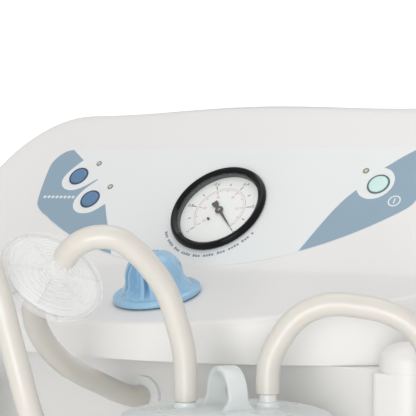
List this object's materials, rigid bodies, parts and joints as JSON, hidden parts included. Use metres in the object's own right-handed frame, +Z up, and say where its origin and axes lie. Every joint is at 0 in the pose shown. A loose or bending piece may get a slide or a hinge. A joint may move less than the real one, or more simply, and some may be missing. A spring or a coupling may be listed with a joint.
{
  "type": "suction pump",
  "caption": "Mobile hospital suction pump: sloped console with vacuum gauge and knob on a column, collection jars with tubes and filter, castor base.",
  "frame": {"origin": "on the floor under the middle of the base's footprint", "axes": "+X to the operator's right, +Y to the back, +Z up; the control panel faces -Y"},
  "size_m": [0.4688, 0.4337, 0.85],
  "materials": {
    "white_shell": "smooth satin white moulding",
    "pale_grey": "fine-textured light grey moulding",
    "label": "printed foil, white with blue areas",
    "lamp": "clear amber lens",
    "black_gloss": "polished black",
    "black_plastic": "black moulding",
    "dial": "white dial with black marks",
    "needle": "black",
    "glass": "clear",
    "blue_knob": "light blue moulding",
    "blue_button": "blue membrane cap",
    "mint_button": "pale green cap",
    "board": "green circuit board",
    "jar_clear": "clear polycarbonate",
    "lid_grey": "pale grey moulding",
    "silicone": "milky silicone",
    "float_orange": "orange moulding",
    "holder_grey": "grey moulding",
    "steel": "brushed",
    "tube": "cream translucent silicone",
    "filter_clear": "clear moulding",
    "membrane": "white filter paper",
    "brass": "turned",
    "motor_paint": "dark enamel",
    "cast_alloy": "cast",
    "rubber_grey": "black rubber",
    "tyre": "grey non-marking tyre",
    "pedal_red": "red moulding",
    "chassis_paint": "grey powder coat"
  },
  "bodies": {
    "frame": {"base_chassis": "chassis_paint", "base_cover": "pale_grey", "column_front": "white_shell", "column_rear": "white_shell", "console_cover": "white_shell", "console_back": "white_shell", "console_floor": "pale_grey", "push_handle": "steel", "panel_label": "label", "status_leds": "lamp", "gauge_bezel": "black_gloss", "gauge_case": "black_plastic", "gauge_dial": "dial", "gauge_glass": "glass", "regulator_valve": "brass", "control_board": "board", "jar_left": "jar_clear", "jar_right": "jar_clear", "lid_left": "lid_grey", "lid_right": "lid_grey", "lid_seals": "silicone", "jar_holders": "holder_grey", "holder_bar": "steel", "tube_rest": "holder_grey", "screws": "steel", "filter_housing": "filter_clear", "filter_membrane": "membrane", "inlet_port": "lid_grey", "mains_inlet": "black_plastic", "foot_switch_socket": "black_plastic", "motor_housing": "motor_paint", "pump_housings": "cast_alloy", "cylinder_heads": "cast_alloy", "vibration_mounts": "rubber_grey", "tube_filter": "tube", "tube_inlet": "tube", "tube_patient": "tube", "tube_coil": "tube", "tube_left": "tube", "patient_connector": "silicone"},
    "power_button": {"power_button": "mint_button"},
    "foot_button_upper": {"foot_button_upper": "blue_button"},
    "foot_button_lower": {"foot_button_lower": "blue_button"},
    "gauge_needle": {"gauge_needle": "needle"},
    "regulator_knob": {"regulator_knob": "blue_knob"},
    "float_left": {"float_left": "float_orange"},
    "float_right": {"float_right": "float_orange"},
    "motor_rotor": {"motor_rotor": "steel"},
    "piston_left": {"piston_left": "cast_alloy"},
    "piston_right": {"piston_right": "cast_alloy"},
    "castor_1": {"castor_fork_1": "steel"},
    "wheel_1": {"castor_wheel_1": "tyre"},
    "castor_2": {"castor_fork_2": "steel"},
    "wheel_2": {"castor_wheel_2": "tyre"},
    "castor_3": {"castor_fork_3": "steel"},
    "wheel_3": {"castor_wheel_3": "tyre"},
    "castor_4": {"castor_fork_4": "steel"},
    "wheel_4": {"castor_wheel_4": "tyre"},
    "pedal_1": {"brake_pedal_1": "pedal_red"},
    "pedal_2": {"brake_pedal_2": "pedal_red"}
  },
  "joints": [
    {"name": "power_button_press", "type": "slide", "parent": "frame", "child": "power_button", "axis": [0, 0.766, -0.6428], "range_m": [0, 0.0015], "stiffness_N_per_m": 600, "springref_m": -0.002},
    {"name": "foot_button_upper_press", "type": "slide", "parent": "frame", "child": "foot_button_upper", "axis": [0, 0.766, -0.6428], "range_m": [0, 0.0015], "stiffness_N_per_m": 600, "springref_m": -0.002},
    {"name": "foot_button_lower_press", "type": "slide", "parent": "frame", "child": "foot_button_lower", "axis": [0, 0.766, -0.6428], "range_m": [0, 0.0015], "stiffness_N_per_m": 600, "springref_m": -0.002},
    {"name": "needle_turn", "type": "hinge", "parent": "frame", "child": "gauge_needle", "pos_m": [0.0108, 0.05367, 0.77396], "axis": [0, -0.766, 0.6428], "range_deg": [0, 270], "stiffness_Nm_per_rad": 0.0005, "springref_deg": -17.19},
    {"name": "regulator_turn", "type": "hinge", "parent": "frame", "child": "regulator_knob", "pos_m": [0.0205, -0.037, 0.71842], "axis": [0, -0.2672, 0.9636], "range_deg": [-135, 135]},
    {"name": "float_left_lift", "type": "slide", "parent": "frame", "child": "float_left", "axis": [0, 0, 1], "range_m": [0, 0.014]},
    {"name": "float_right_lift", "type": "slide", "parent": "frame", "child": "float_right", "axis": [0, 0, 1], "range_m": [0, 0.014]},
    {"name": "motor_spin", "type": "hinge", "parent": "frame", "child": "motor_rotor", "pos_m": [0, 0.05, 0.205], "axis": [1, 0, 0], "continuous": true},
    {"name": "piston_left_stroke", "type": "slide", "parent": "frame", "child": "piston_left", "axis": [0, 0, 1], "range_m": [-0.006, 0.006]},
    {"name": "piston_right_stroke", "type": "slide", "parent": "frame", "child": "piston_right", "axis": [0, 0, 1], "range_m": [-0.006, 0.006]},
    {"name": "castor_1_swivel", "type": "hinge", "parent": "frame", "child": "castor_1", "pos_m": [-0.175, -0.15, 0.085], "axis": [0, 0, 1], "continuous": true},
    {"name": "wheel_1_roll", "type": "hinge", "parent": "castor_1", "child": "wheel_1", "pos_m": [-0.175, -0.124, 0.0375], "axis": [1, 0, 0], "continuous": true},
    {"name": "castor_2_swivel", "type": "hinge", "parent": "frame", "child": "castor_2", "pos_m": [0.175, -0.15, 0.085], "axis": [0, 0, 1], "continuous": true},
    {"name": "wheel_2_roll", "type": "hinge", "parent": "castor_2", "child": "wheel_2", "pos_m": [0.175, -0.124, 0.0375], "axis": [1, 0, 0], "continuous": true},
    {"name": "castor_3_swivel", "type": "hinge", "parent": "frame", "child": "castor_3", "pos_m": [-0.175, 0.138, 0.085], "axis": [0, 0, 1], "continuous": true},
    {"name": "wheel_3_roll", "type": "hinge", "parent": "castor_3", "child": "wheel_3", "pos_m": [-0.175, 0.164, 0.0375], "axis": [1, 0, 0], "continuous": true},
    {"name": "castor_4_swivel", "type": "hinge", "parent": "frame", "child": "castor_4", "pos_m": [0.175, 0.138, 0.085], "axis": [0, 0, 1], "continuous": true},
    {"name": "wheel_4_roll", "type": "hinge", "parent": "castor_4", "child": "wheel_4", "pos_m": [0.175, 0.164, 0.0375], "axis": [1, 0, 0], "continuous": true},
    {"name": "brake_1_press", "type": "hinge", "parent": "castor_1", "child": "pedal_1", "pos_m": [-0.175, -0.125, 0.084], "axis": [-1, 0, 0], "range_deg": [0, 15]},
    {"name": "brake_2_press", "type": "hinge", "parent": "castor_2", "child": "pedal_2", "pos_m": [0.175, -0.125, 0.084], "axis": [-1, 0, 0], "range_deg": [0, 15]}
  ]
}
